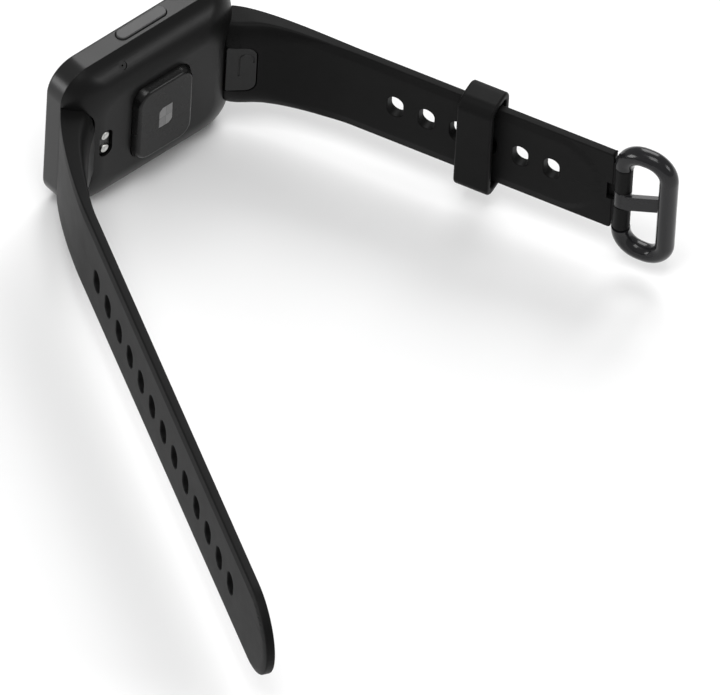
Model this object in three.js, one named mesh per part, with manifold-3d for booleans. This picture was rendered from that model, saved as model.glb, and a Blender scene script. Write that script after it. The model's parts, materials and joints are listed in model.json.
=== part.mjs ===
// Fitness tracker band: a square case standing on its long side wall, with a buckle strap and a tail strap.
// Axes: +X along the case towards the buckle strap, -Y out of the back (the wrist side), +Z up through the
// button. The origin is in the middle of the side wall that the case rests on. Depths are distances from the
// front glass towards the back: a depth d is at Y = -d in the group, which stands SIDE_MID forward of the origin.
import * as THREE from "three";
import { mergeVertices } from "three/addons/utils/BufferGeometryUtils.js";
import Module from "manifold-3d";

const wasm = await Module();
wasm.setup();

// ---- driving dimensions, in millimetres -------------------------------------------------------------------
const LENGTH = 42.3, WIDTH = 35.8, CORNER = 6.2;      // case outline
const LIP_DEPTH = 0.3, BAND_DEPTH = 4.6, BACK_DEPTH = 9.5;  // side band, from its lip to the crease, and back face
const BACK_INSET = 7.4;                               // how far the back face lies inside the outline
const BUMP_TOP = 11.2, BUMP_X = 14.2, BUMP_Z = 19.0;  // sensor bump
const GAP = 0.15;                                     // running clearance
const ROOT_WIDTH = 22, STRAP_WIDTH = 19.8, STRAP_T = 1.8;
const ROOT_FACE = 16.5;                               // where a strap root meets the case
const LEAN = 22.4 * Math.PI / 180;                    // straps, from square to the case
const STRAIGHT = { buckle: 33.6, tail: 34.7, y: -28 };  // outer face, where each strap turns straight
const HOLE_PITCH = 6.6, HOLE_LONG = 3.4, HOLE_TALL = 5.4;
const TAIL_HOLES = 13, TAIL_FIRST = 7.9, TAIL_END = 107.6, TIP_LONG = 10.6;
const BUCKLE_HOLES = 6, BUCKLE_FIRST = 8.8, BUCKLE_PLATE_END = 53.9, PIN_AT = 56.8, PIN_N = 1.7;
const KNUCKLE_R = 1.7, KNUCKLE_HALF = 8.2, NOTCH_HALF = 2.15, PIN_R = 0.8;
const RING_R = 1.85, RING_REACH = 9.3, RING_HALF = 12.9, RING_BEND = 4.2;
const KEEPER_AT = 26.6, KEEPER_W = 7.4, KEEPER_WALL = 1.5, KEEPER_IN = [-1.3, 3.5];
const TAB_LONG = 5.4, TAB_TALL = 11.7, TAB_T = 1.2;
const BUTTON_X = 0.5, BUTTON_DEPTH = 2.4, BUTTON_LONG = 11.8, BUTTON_TALL = 2.6, BUTTON_PROUD = 0.4;

const HALF_X = LENGTH / 2, HALF_Z = WIDTH / 2, SIDE_MID = (LIP_DEPTH + BAND_DEPTH) / 2;

// ---- materials ----------------------------------------------------------------------------------------------
const paint = (color, roughness, metalness = 0) => new THREE.MeshStandardMaterial({ color, roughness, metalness });
const look = {
  frame: paint(0x4a4a4b, 0.45), back: paint(0x363637, 0.5), cover: paint(0x303032, 0.3), glass: paint(0x0b0c0e, 0.06),
  window: paint(0x6d6d6b, 0.15), button: paint(0x6a6a6b, 0.4, 0.4), strap: paint(0x2c2c2d, 0.62),
  tab: paint(0x343435, 0.5), steel: paint(0xa6a6a4, 0.3, 1), gloss: paint(0x0d0d0e, 0.16, 0.9),
  display: paint(0x101216, 0.2), board: paint(0x14402c, 0.5), cell: paint(0x8d9296, 0.4, 0.5),
  foam: paint(0x161616, 0.9), led: paint(0xe8f2d8, 0.3), chip: paint(0x15161a, 0.35), copper: paint(0xb9793c, 0.35, 1),
  black: paint(0x1a1a1b, 0.4)
};

// ---- solids -------------------------------------------------------------------------------------------------
const solid = (geometry) => {
  const bare = geometry.clone();
  bare.deleteAttribute("normal");
  bare.deleteAttribute("uv");
  const g = mergeVertices(bare, 1e-4);
  const index = g.index.array, kept = [];
  for (let i = 0; i < index.length; i += 3) {
    const [a, b, c] = [index[i], index[i + 1], index[i + 2]];
    if (a !== b && b !== c && a !== c) kept.push(a, b, c);
  }
  return new wasm.Manifold(new wasm.Mesh({
    numProp: 3, vertProperties: new Float32Array(g.attributes.position.array), triVerts: new Uint32Array(kept)
  }));
};
const geometryOf = (manifold) => {
  const m = manifold.getMesh();
  const g = new THREE.BufferGeometry();
  g.setAttribute("position", new THREE.BufferAttribute(new Float32Array(m.vertProperties), 3));
  g.setIndex(new THREE.BufferAttribute(new Uint32Array(m.triVerts), 1));
  return g;
};
const cut = (body, ...tools) => tools.reduce((s, t) => s.subtract(t), body);
const join = (body, ...more) => more.reduce((s, t) => s.add(t), body);

// An outline drawn in (x, z) and extruded from one depth to another.
const slab = (shape, from, to, segments = 5) => new THREE.ExtrudeGeometry(shape, {
  depth: to - from, bevelEnabled: false, curveSegments: segments
}).rotateX(Math.PI / 2).translate(0, -from, 0);
const box = (x0, x1, d0, d1, z0, z1) => new THREE.BoxGeometry(x1 - x0, d1 - d0, z1 - z0)
  .translate((x0 + x1) / 2, -(d0 + d1) / 2, (z0 + z1) / 2);
const rod = (r, z0, z1, segments = 20) => new THREE.CylinderGeometry(r, r, z1 - z0, segments)
  .rotateX(Math.PI / 2).translate(0, 0, (z0 + z1) / 2);
const rodY = (r, x, z, d0, d1, segments = 20) => new THREE.CylinderGeometry(r, r, d1 - d0, segments)
  .translate(x, -(d0 + d1) / 2, z);
const rounded = (halfX, halfZ, r, cx = 0, cz = 0) => {
  const s = new THREE.Shape();
  s.moveTo(cx - halfX + r, cz - halfZ);
  s.lineTo(cx + halfX - r, cz - halfZ);
  s.absarc(cx + halfX - r, cz - halfZ + r, r, -Math.PI / 2, 0);
  s.lineTo(cx + halfX, cz + halfZ - r);
  s.absarc(cx + halfX - r, cz + halfZ - r, r, 0, Math.PI / 2);
  s.lineTo(cx - halfX + r, cz + halfZ);
  s.absarc(cx - halfX + r, cz + halfZ - r, r, Math.PI / 2, Math.PI);
  s.lineTo(cx - halfX, cz - halfZ + r);
  s.absarc(cx - halfX + r, cz - halfZ + r, r, Math.PI, 1.5 * Math.PI);
  return s;
};
const outline = (inset) => rounded(HALF_X - inset, HALF_Z - inset, Math.max(CORNER - inset, 0.8));
const oval = (halfX, halfZ, cx, cz) => rounded(halfX, halfZ, Math.min(halfX, halfZ) * 0.999, cx, cz);

const tracker = new THREE.Group();
tracker.position.set(0, SIDE_MID, HALF_Z);
const add = (name, body, material) => {
  const mesh = new THREE.Mesh(body.isBufferGeometry ? body : geometryOf(body), material);
  mesh.name = name;
  tracker.add(mesh);
  return mesh;
};

// ---- case: side band ------------------------------------------------------------------------------------------
const buttonPill = (grow, z0, z1) => new THREE.ExtrudeGeometry(
  rounded(BUTTON_LONG / 2 + grow, BUTTON_TALL / 2 + grow, BUTTON_TALL / 2 + grow - 0.01, BUTTON_X, -BUTTON_DEPTH),
  { depth: z1 - z0, bevelEnabled: false, curveSegments: 6 }).translate(0, 0, z0);
const STEM_DEPTH = 3.1;
const buttonStem = (r, z0, z1) => rod(r, z0, z1, 16).translate(BUTTON_X, -STEM_DEPTH, 0);

add("mid_frame", cut(solid(slab(outline(0), LIP_DEPTH, BAND_DEPTH)),
  solid(slab(outline(1.1), -1, 1.2)), solid(slab(outline(2.0), -1, 20)),
  solid(buttonPill(0.2, HALF_Z - 0.95, HALF_Z + 3)), solid(buttonStem(0.75, HALF_Z - 4, HALF_Z + 1))), look.frame);
add("front_glass", new THREE.ExtrudeGeometry(outline(1.55), {
  depth: 0.3, bevelThickness: 0.3, bevelSize: 0.3, bevelSegments: 2, curveSegments: 5
}).rotateX(Math.PI / 2).translate(0, -0.3, 0), look.glass);
const gasket = outline(1.35);
gasket.holes.push(outline(2.15));
add("display_gasket", slab(gasket, 0.97, 1.13), look.foam);
add("display_panel", slab(outline(2.35), 0.97, 2.15), look.display);

// ---- case: side button and its switch ---------------------------------------------------------------------------
add("side_button", join(solid(buttonPill(0, HALF_Z - 0.6, HALF_Z + BUTTON_PROUD)),
  solid(buttonStem(0.55, HALF_Z - 2.55, HALF_Z - 0.3))), look.button);
const sealRing = new THREE.Shape().absarc(BUTTON_X, -STEM_DEPTH, 1.0, 0, 2 * Math.PI);
sealRing.holes.push(new THREE.Path().absarc(BUTTON_X, -STEM_DEPTH, 0.65, 0, 2 * Math.PI, true));
add("button_seal", new THREE.ExtrudeGeometry(sealRing, { depth: 0.22, bevelEnabled: false, curveSegments: 8 })
  .translate(0, 0, HALF_Z - 2.27), look.foam);
add("tact_switch", box(BUTTON_X - 1.7, BUTTON_X + 1.7, 2.4, 3.7, HALF_Z - 4.0, HALF_Z - 2.95), look.steel);

// ---- case: back cover ---------------------------------------------------------------------------------------------
// The roll-off is one circular arc from the flat back to the crease, cut by the case outline.
const ROLL_R = (BACK_INSET ** 2 + (BACK_DEPTH - BAND_DEPTH) ** 2) / (2 * (BACK_DEPTH - BAND_DEPTH));
const domed = new THREE.ExtrudeGeometry(rounded(HALF_X - BACK_INSET, HALF_Z - BACK_INSET, 2.2), {
  depth: 0.1, bevelThickness: ROLL_R, bevelSize: ROLL_R, bevelSegments: 12, curveSegments: 4
}).rotateX(Math.PI / 2).translate(0, -(BACK_DEPTH - ROLL_R - 0.1), 0);
const rootPocket = (side) => box(side > 0 ? ROOT_FACE - 0.3 : -40, side > 0 ? 40 : 0.3 - ROOT_FACE,
  0, 20, -ROOT_WIDTH / 2 - GAP, ROOT_WIDTH / 2 + GAP);
const CONTACT_X = -13.5;
const contactPocket = (grow, d0, d1) => slab(oval(1.4 + grow, 3.3 + grow, CONTACT_X, 0), d0, d1, 4);
const catchBox = (side, grow) => box(Math.min(side * 13.9, side * (19.4 + grow)), Math.max(side * 13.9, side * (19.4 + grow)),
  6.0 - grow, 7.0 + grow, -6.5 - grow, 6.5 + grow);
const cavity = join(solid(box(-14.4, 14.4, 0, 7.95, -12.2, 12.2)), solid(box(-14.4, 14.4, 0, 6.3, -14.6, 14.6)));
const contactSeat = solid(box(-16.2, -11.6, 7.2, 9.0, -4.4, 4.4));
add("back_cover", cut(
  join(cut(solid(slab(outline(0), BAND_DEPTH + 0.06, BACK_DEPTH)).intersect(solid(domed)), cavity),
    contactSeat.intersect(solid(domed))),
  solid(rootPocket(1)), solid(rootPocket(-1)),
  solid(slab(rounded(BUMP_X / 2 + GAP, BUMP_Z / 2 + GAP, 3.2), 5, 12)),
  solid(contactPocket(GAP, 5, 12)), solid(catchBox(1, GAP)), solid(catchBox(-1, GAP)),
  solid(rodY(0.45, -8.1, 16.0, 6.4, 12, 12))), look.back);
for (const [name, side] of [["buckle_catch", 1], ["tail_catch", -1]]) add(name, catchBox(side, 0), look.steel);

// ---- case: sensor bump ----------------------------------------------------------------------------------------------
const bump = new THREE.ExtrudeGeometry(rounded(BUMP_X / 2 - 1.3, BUMP_Z / 2 - 1.3, 1.9), {
  depth: 2.9, bevelThickness: 1.0, bevelSize: 1.3, bevelSegments: 4, curveSegments: 5
}).rotateX(Math.PI / 2).translate(0, -(BUMP_TOP - 3.9), 0);
const WINDOW = [1.65, 2.6];
add("sensor_cover", cut(solid(bump).intersect(solid(box(-20, 20, 8.1, 20, -20, 20))),
  solid(slab(rounded(5.6, 8.0, 1.5), 5, 10.1)), solid(slab(rounded(WINDOW[0] + GAP, WINDOW[1] + GAP, 0.3), 9, 20, 2))),
  look.cover);
add("sensor_window", slab(rounded(WINDOW[0], WINDOW[1], 0.3), 10.0, BUMP_TOP - 0.06, 2), look.window);
add("sensor_board", box(-5.2, 5.2, 8.3, 8.9, -7.6, 7.6), look.board);
for (const [name, x, z, material] of [["led_upper", -0.8, 1.25, look.led], ["led_lower", 0.8, -1.25, look.led],
  ["photodiode_upper", 0.8, 1.25, look.chip], ["photodiode_lower", -0.8, -1.25, look.chip]]) {
  add(name, box(x - 0.62, x + 0.62, 9.0, 9.7, z - 0.9, z + 0.9), material);
}

// ---- case: charging contacts ------------------------------------------------------------------------------------------
add("contact_insulator", cut(solid(contactPocket(0, 7.3, BACK_DEPTH - 0.75)),
  ...[-1.75, 1.75].map((z) => solid(rodY(1.12, CONTACT_X, z, 5, 12, 16)))), look.black);
for (const [name, z] of [["contact_upper", 1.75], ["contact_lower", -1.75]]) {
  add(name, new THREE.LatheGeometry([[0, 0], [0.6, 0], [0.6, 0.9], [0.97, 0.9], [0.97, 1.75], [0.8, 1.95], [0, 1.95]]
    .map(([r, y]) => new THREE.Vector2(r, y)), 18).rotateX(Math.PI).translate(CONTACT_X, -(BACK_DEPTH - 2.25), z), look.steel);
}

// ---- case: inner pieces -----------------------------------------------------------------------------------------------
add("main_board", box(-13.9, 13.9, 3.85, 4.5, -14.2, 14.2), look.board);
add("battery", box(-11.3, 4.6, 4.75, 7.7, -11.6, 11.6), look.cell);
add("vibration_motor", rodY(4.0, 9.3, 5.4, 4.8, 7.4, 24), look.steel);
add("radio_antenna", box(5.4, 13.6, 4.8, 6.0, -13.9, -12.6), look.copper);

// ---- straps --------------------------------------------------------------------------------------------------------------
// Both straps share one plan curve, mirrored in X. The outer face leaves the crease and turns straight at STRAIGHT.
const along = (side) => new THREE.Vector3(side * Math.sin(LEAN), -Math.cos(LEAN), 0);
const inward = (side) => new THREE.Vector3(-side * Math.cos(LEAN), -Math.sin(LEAN), 0);
// A point of a straight strap: s along it, n in from its outer face.
const straightX = (side) => side > 0 ? STRAIGHT.buckle : STRAIGHT.tail;
const onStrap = (side, s, n) => new THREE.Vector3(side * straightX(side), STRAIGHT.y, 0)
  .addScaledVector(along(side), s).addScaledVector(inward(side), n);
// Geometry drawn in (s, z) with its third axis inwards, moved onto a strap. On the tail side the third axis is
// mirrored by hand, so each drawing says its own inward range.
const ontoStrap = (geometry, side, n0, thickness) => {
  const up = new THREE.Vector3(0, 0, 1), a = along(side), third = new THREE.Vector3().crossVectors(a, up);
  const start = onStrap(side, 0, side > 0 ? n0 : n0 + thickness);
  return geometry.applyMatrix4(new THREE.Matrix4().makeBasis(a, up, third).setPosition(start));
};
// Round pieces and plan drawings in (s, n), which stand along Z.
const upright = (geometry, side, s, n) => {
  const at = onStrap(side, s, n);
  return geometry.rotateZ(side > 0 ? LEAN - Math.PI / 2 : -LEAN - Math.PI / 2).translate(at.x, at.y, 0);
};
const FLEX_N = STRAP_T / 2;

const rootPlan = (side) => {
  const inner = onStrap(side, 0, STRAP_T);
  const s = new THREE.Shape();
  s.moveTo(side * ROOT_FACE, -BAND_DEPTH - 0.25);
  s.lineTo(side * 21.4, -BAND_DEPTH - 0.3);
  s.bezierCurveTo(side * 25.4, -8.7, side * (straightX(side) - 3.2), -19.9, side * straightX(side), STRAIGHT.y);
  s.lineTo(inner.x, inner.y);
  s.bezierCurveTo(inner.x - side * 2.8, -22.1, side * 25.0, -16.1, side * 21.25, -13.25);
  s.lineTo(side * ROOT_FACE, -BACK_DEPTH - 0.1);
  return s;
};
// The release tab lies in the root's inner face, which leaves the case at this angle.
const TAB_ANGLE = Math.atan2(13.25 - BACK_DEPTH - 0.1, 21.25 - ROOT_FACE);
const tabPiece = (side, long, tall, top, bottom, r) => new THREE.ExtrudeGeometry(rounded(long / 2, tall / 2, r), {
  depth: top - bottom, bevelEnabled: false, curveSegments: 3
}).translate(0, 0, bottom).rotateX(Math.PI / 2).rotateZ(-side * TAB_ANGLE)
  .translate(side * (ROOT_FACE + 21.25) / 2, -(BACK_DEPTH + 0.1 + 13.25) / 2, 0);
const strapRoot = (side) => {
  const taper = new THREE.Shape([[side * 10, -11], [side * 22, -11], [side * 34, -STRAP_WIDTH / 2], [side * 40, -STRAP_WIDTH / 2],
    [side * 40, STRAP_WIDTH / 2], [side * 34, STRAP_WIDTH / 2], [side * 22, 11], [side * 10, 11]].map((p) => new THREE.Vector2(...p)));
  const body = new THREE.ExtrudeGeometry(rootPlan(side), {
    depth: ROOT_WIDTH, bevelEnabled: false, curveSegments: 10
  }).translate(0, 0, -ROOT_WIDTH / 2);
  const flex = onStrap(side, 0, FLEX_N);
  return cut(solid(body).intersect(solid(slab(taper, -5, 45))),
    solid(rod(STRAP_T / 2 + 0.3, -15, 15, 24).translate(flex.x, flex.y, 0)),
    solid(tabPiece(side, TAB_LONG + 0.4, TAB_TALL + 0.4, 3, -2.1, 0.8)),
    solid(box(Math.min(side * 10, side * 19.8), Math.max(side * 10, side * 19.8), 5.7, 7.3, -6.9, 6.9)));
};
const ovalPoints = (cx, halfX, halfZ, n) => Array.from({ length: n }, (_, i) => {
  const a = -2 * Math.PI * i / n;
  return new THREE.Vector2(cx + halfX * Math.cos(a), Math.sign(Math.sin(a)) * (halfZ - halfX) + halfX * Math.sin(a));
});
const strapHoles = (first, count) => Array.from({ length: count }, (_, i) =>
  new THREE.Path(ovalPoints(first + i * HOLE_PITCH, HOLE_LONG / 2, HOLE_TALL / 2, 14)));
const strapBand = (shape, side) => {
  const flex = onStrap(side, 0, FLEX_N);
  return join(solid(ontoStrap(new THREE.ExtrudeGeometry(shape, { depth: STRAP_T, bevelEnabled: false, curveSegments: 3 }),
    side, 0, STRAP_T)), solid(rod(STRAP_T / 2, -STRAP_WIDTH / 2, STRAP_WIDTH / 2, 24).translate(flex.x, flex.y, 0)));
};
const half = STRAP_WIDTH / 2;

for (const [name, side] of [["buckle", 1], ["tail", -1]]) {
  add(name + "_strap_root", strapRoot(side), look.strap);
  add(name + "_release_tab", tabPiece(side, TAB_LONG, TAB_TALL, 0, -TAB_T, 0.8), look.tab);
  add(name + "_release_spring", tabPiece(side, TAB_LONG - 2, TAB_TALL - 3, -TAB_T - 0.55, -TAB_T - 0.75, 0.4), look.steel);
}

// Tail strap: a long plate with adjustment holes and a round tip.
const tip = Array.from({ length: 17 }, (_, i) => {
  const a = Math.PI * (i / 16 - 0.5);
  return new THREE.Vector2(TAIL_END - TIP_LONG + TIP_LONG * Math.cos(a), half * Math.sin(a));
});
const tailPlate = new THREE.Shape([new THREE.Vector2(0, -half), ...tip, new THREE.Vector2(0, half)]);
tailPlate.holes.push(...strapHoles(TAIL_FIRST, TAIL_HOLES));
add("tail_strap_band", strapBand(tailPlate, -1), look.strap);

// Buckle strap: a plate with six holes, narrowing to a knuckle round the pin, notched for the tongue.
const bucklePlate = new THREE.Shape([[0, -half], [BUCKLE_PLATE_END, -half], [BUCKLE_PLATE_END, -KNUCKLE_HALF],
  [PIN_AT, -KNUCKLE_HALF], [PIN_AT, KNUCKLE_HALF], [BUCKLE_PLATE_END, KNUCKLE_HALF], [BUCKLE_PLATE_END, half],
  [0, half]].map((p) => new THREE.Vector2(...p)));
bucklePlate.holes.push(...strapHoles(BUCKLE_FIRST, BUCKLE_HOLES));
const knuckle = upright(rod(KNUCKLE_R, -KNUCKLE_HALF, KNUCKLE_HALF, 24), 1, PIN_AT, PIN_N);
const notch = upright(new THREE.BoxGeometry(9, 12, 2 * NOTCH_HALF), 1, PIN_AT + 1.1, PIN_N);
add("buckle_strap_band", cut(join(strapBand(bucklePlate, 1), solid(knuckle)),
  solid(upright(rod(PIN_R + GAP, -12, 12, 20), 1, PIN_AT, PIN_N)), solid(notch)), look.strap);
add("buckle_pin", upright(rod(PIN_R, -KNUCKLE_HALF - 1.5, KNUCKLE_HALF + 1.5, 20), 1, PIN_AT, PIN_N), look.steel);

// Ring: one round bar bent into an open loop whose ends hold the pin.
const ringPath = new THREE.CurvePath();
const arcPoints = (cx, cz, from, to, n) => Array.from({ length: n + 1 }, (_, i) => {
  const a = from + (to - from) * i / n;
  return new THREE.Vector3(cx + RING_BEND * Math.cos(a), cz + RING_BEND * Math.sin(a), 0);
});
const bendZ = RING_HALF - RING_BEND, endZ = KNUCKLE_HALF + 0.25;
const ringLine = [new THREE.Vector3(0, endZ, 0), ...arcPoints(RING_BEND, bendZ, Math.PI, Math.PI / 2, 6),
  ...arcPoints(RING_REACH - RING_BEND, bendZ, Math.PI / 2, 0, 6),
  ...arcPoints(RING_REACH - RING_BEND, -bendZ, 0, -Math.PI / 2, 6),
  ...arcPoints(RING_BEND, -bendZ, -Math.PI / 2, -Math.PI, 6), new THREE.Vector3(0, -endZ, 0)];
for (let i = 1; i < ringLine.length; i++) ringPath.add(new THREE.LineCurve3(ringLine[i - 1], ringLine[i]));
const ringBar = new THREE.ExtrudeGeometry(new THREE.Shape().absarc(0, 0, RING_R, 0, 2 * Math.PI), {
  steps: 44, extrudePath: ringPath, curveSegments: 7
});
const ontoPin = (geometry) => geometry.applyMatrix4(new THREE.Matrix4().makeBasis(
  along(1), new THREE.Vector3(0, 0, 1), inward(1)).setPosition(onStrap(1, PIN_AT, PIN_N)));
const PRONG_N = -0.6;
const prongNotch = new THREE.BoxGeometry(4.4, 3, 4.2).translate(RING_REACH, -PRONG_N + 1.5 - 0.2, 0);
add("buckle_ring", cut(solid(ontoPin(ringBar)), solid(upright(prongNotch, 1, PIN_AT, PIN_N)),
  solid(upright(rod(PIN_R + GAP, -KNUCKLE_HALF - 1.8, KNUCKLE_HALF + 1.8, 20), 1, PIN_AT, PIN_N))), look.gloss);

// Tongue: a hub on the pin and a flat prong that crosses the ring and rests in a notch in its far bar.
const prong = new THREE.Shape([[0.2, 1.7], [2.3, 1.15], [7.1, PRONG_N], [9.9, PRONG_N], [10.2, PRONG_N - 0.4],
  [9.8, PRONG_N - 1.2], [6.7, PRONG_N - 1.2], [0.2, 0.2]].map(([s, n]) => new THREE.Vector2(s, -n)));
const standing = (geometry) => upright(geometry, 1, PIN_AT, PIN_N);
add("buckle_tongue", cut(join(solid(standing(new THREE.ExtrudeGeometry(prong, { depth: 3.6, bevelEnabled: false })
  .translate(0, 0, -1.8))), solid(standing(rod(1.75, -1.8, 1.8, 24)))),
  solid(standing(rod(PIN_R + GAP, -3, 3, 20)))), look.gloss);

// Keeper: a loop that slides on the buckle strap, tall enough for the tail strap as well.
const keeperMid = (KEEPER_IN[0] + KEEPER_IN[1]) / 2, keeperHalfN = (KEEPER_IN[1] - KEEPER_IN[0]) / 2;
const keeperOuter = rounded(keeperHalfN + KEEPER_WALL, half + 0.35 + KEEPER_WALL, 2.4);
keeperOuter.holes.push(rounded(keeperHalfN, half + 0.35, 1.1));
const keeper = new THREE.ExtrudeGeometry(keeperOuter, { depth: KEEPER_W, bevelEnabled: false, curveSegments: 4 })
  .translate(0, 0, -KEEPER_W / 2);
keeper.applyMatrix4(new THREE.Matrix4().makeBasis(new THREE.Vector3().copy(inward(1)).negate(),
  new THREE.Vector3(0, 0, 1), along(1)).setPosition(onStrap(1, KEEPER_AT, keeperMid)));
add("keeper_loop", keeper, look.strap);

export default tracker;
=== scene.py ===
# %% [markdown]
# # A fitness tracker standing on its side
# The tracker is a square case with a raised sensor cover, a side button and two charging contacts, and it
# has a buckle strap and a tail strap. The imported solids already say where everything is and how it moves.
# Here each piece that shows is modelled again with the soft edges, crowned faces and finishes of the real
# one.
# The first cell loads the solids and keeps their box, which later sets the floor's height and the lights'
# centre.

# %% The frame
import json
import math
from contextlib import contextmanager

import bmesh
import bpy
from mathutils import Matrix, Vector

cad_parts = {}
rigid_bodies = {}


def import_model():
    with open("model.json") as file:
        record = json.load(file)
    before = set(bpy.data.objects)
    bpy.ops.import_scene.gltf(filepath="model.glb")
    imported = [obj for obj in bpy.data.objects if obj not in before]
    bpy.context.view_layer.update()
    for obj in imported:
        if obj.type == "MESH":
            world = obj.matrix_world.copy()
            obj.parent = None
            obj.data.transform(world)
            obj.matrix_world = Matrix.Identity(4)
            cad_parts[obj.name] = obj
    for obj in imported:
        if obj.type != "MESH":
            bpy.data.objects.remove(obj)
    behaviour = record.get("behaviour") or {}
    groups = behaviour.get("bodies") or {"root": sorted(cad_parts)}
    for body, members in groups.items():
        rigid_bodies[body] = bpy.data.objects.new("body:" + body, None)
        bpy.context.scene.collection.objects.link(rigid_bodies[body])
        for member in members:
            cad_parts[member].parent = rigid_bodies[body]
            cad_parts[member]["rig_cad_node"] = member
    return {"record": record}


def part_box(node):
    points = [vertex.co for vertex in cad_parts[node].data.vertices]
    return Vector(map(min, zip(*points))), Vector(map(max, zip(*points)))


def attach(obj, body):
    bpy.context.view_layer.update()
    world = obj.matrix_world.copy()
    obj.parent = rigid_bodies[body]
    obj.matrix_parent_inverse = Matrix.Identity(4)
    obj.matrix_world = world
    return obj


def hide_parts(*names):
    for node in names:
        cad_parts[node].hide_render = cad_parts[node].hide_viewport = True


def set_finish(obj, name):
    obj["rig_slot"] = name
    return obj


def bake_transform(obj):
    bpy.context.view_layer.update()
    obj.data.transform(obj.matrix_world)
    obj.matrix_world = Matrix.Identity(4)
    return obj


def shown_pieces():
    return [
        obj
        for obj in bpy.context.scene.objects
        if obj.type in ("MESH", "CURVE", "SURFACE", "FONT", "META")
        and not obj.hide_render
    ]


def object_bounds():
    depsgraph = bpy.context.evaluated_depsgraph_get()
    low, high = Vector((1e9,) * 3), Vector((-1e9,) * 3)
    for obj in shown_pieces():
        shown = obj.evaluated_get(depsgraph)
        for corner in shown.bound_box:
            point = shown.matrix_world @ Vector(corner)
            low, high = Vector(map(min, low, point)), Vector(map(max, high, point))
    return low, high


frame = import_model()
cad_low, cad_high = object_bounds()

# %% [markdown]
# ## Places
# Lengths are written in millimetres, as on a drawing, and turned into metres in one place. X runs along the
# case towards the buckle strap and Z runs up through the button. Depth is counted from the cover glass
# towards the wrist, which is along -Y. The outline and the depths are read from the solids.

# %% Millimetres and depths
MM = 0.001
band_low, band_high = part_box("mid_frame")
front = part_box("front_glass")[1].y / MM
HALF_LENGTH = band_high.x / MM
HALF_WIDTH = (band_high.z - band_low.z) / 2 / MM
CORNER = 6.2
LIP_DEPTH = front - band_high.y / MM
CREASE_DEPTH = front - band_low.y / MM
BACK_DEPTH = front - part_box("back_cover")[0].y / MM
BUMP_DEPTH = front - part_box("sensor_cover")[0].y / MM


def spot(x, depth, z):
    """A point from millimetres along the case, below the glass and above the case's middle."""
    return Vector((x, front - depth, z + HALF_WIDTH)) * MM


print(f"case {2 * HALF_LENGTH:.1f} x {2 * HALF_WIDTH:.1f} mm")
print(f"crease at {CREASE_DEPTH:.2f} mm, back at {BACK_DEPTH:.2f} mm")

# %% [markdown]
# ## Working as by hand
# Blender's operators act on whatever is selected, so every step first selects exactly what it needs. These
# helpers add a primitive, open edit mode, pick faces or edges by a test, cut with another piece and soften
# edges. They keep each later cell down to the moves that shape the piece.


# %% Helpers for adding and picking
def only(piece):
    """Selects one piece and makes it active."""
    bpy.ops.object.select_all(action="DESELECT")
    piece.select_set(True)
    bpy.context.view_layer.objects.active = piece
    return piece


def settle(name):
    """Names the primitive just added and moves its place and size into its mesh."""
    piece = only(bpy.context.object)
    piece.name = piece.data.name = name
    bpy.ops.object.transform_apply(location=True, rotation=True, scale=True)
    return piece


def block(name, a, b):
    """A cube stretched between two opposite corners."""
    bpy.ops.mesh.primitive_cube_add(size=1, location=(a + b) / 2, scale=[abs(v) for v in b - a])
    return settle(name)


@contextmanager
def editing(piece):
    """Opens edit mode on a piece for the indented lines."""
    only(piece)
    bpy.ops.object.mode_set(mode="EDIT")
    yield
    bpy.ops.object.mode_set(mode="OBJECT")


def pick(piece, kind, test):
    """Selects the faces, edges or vertices that pass a test, and nothing else."""
    bpy.ops.mesh.select_mode(type=kind)
    bpy.ops.mesh.select_all(action="DESELECT")
    mesh = bmesh.from_edit_mesh(piece.data)
    parts = {"FACE": mesh.faces, "EDGE": mesh.edges, "VERT": mesh.verts}[kind]
    parts.ensure_lookup_table()
    chosen = [part for part in parts if test(part)]
    for part in chosen:
        part.select_set(True)
    mesh.select_flush_mode()
    bmesh.update_edit_mesh(piece.data)


def middle(edge):
    return (edge.verts[0].co + edge.verts[1].co) / 2


def runs(edge, axis):
    """Whether an edge lies along one axis."""
    line = edge.verts[1].co - edge.verts[0].co
    return line.length > 0 and abs(line.normalized()[axis]) > 0.99


def faces(direction):
    """A test for faces that look along a direction."""
    way = Vector(direction).normalized()
    return lambda face: face.normal.dot(way) > 0.99


# %% [markdown]
# Rounding, cutting and cleaning come up on every piece, so each is written once. A modifier could round a
# whole piece, but a bevel in edit mode rounds only the edges that were picked. A round end is a bevel of
# just under half the width, so that its two arcs never meet.


# %% Helpers for shaping
FULL_ROUND = 0.999


def round_corners(piece, axis, radius, segments=10, where=lambda place: True):
    """Rounds the edges that run along one axis."""
    with editing(piece):
        pick(piece, "EDGE", lambda edge: runs(edge, axis) and where(middle(edge)))
        bpy.ops.mesh.bevel(offset=radius * MM, segments=segments, affect="EDGES")
    return piece


def round_rim(piece, direction, radius, segments=4):
    """Rounds the outline of the face that looks along a direction."""
    with editing(piece):
        pick(piece, "FACE", faces(direction))
        bpy.ops.mesh.region_to_loop()
        bpy.ops.mesh.bevel(offset=radius * MM, segments=segments, affect="EDGES")
    return piece


def apply_modifier(piece, kind, **settings):
    """Adds a modifier and makes its result the piece's mesh."""
    only(piece)
    modifier = piece.modifiers.new("Step", kind)
    for key, value in settings.items():
        setattr(modifier, key, value)
    bpy.ops.object.modifier_apply(modifier=modifier.name)


def combine(piece, tool, operation="DIFFERENCE"):
    """Cuts with a tool, or joins with it, and removes the tool."""
    apply_modifier(piece, "BOOLEAN", operation=operation, object=tool, solver="MANIFOLD")
    bpy.data.objects.remove(tool)
    return piece


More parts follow.
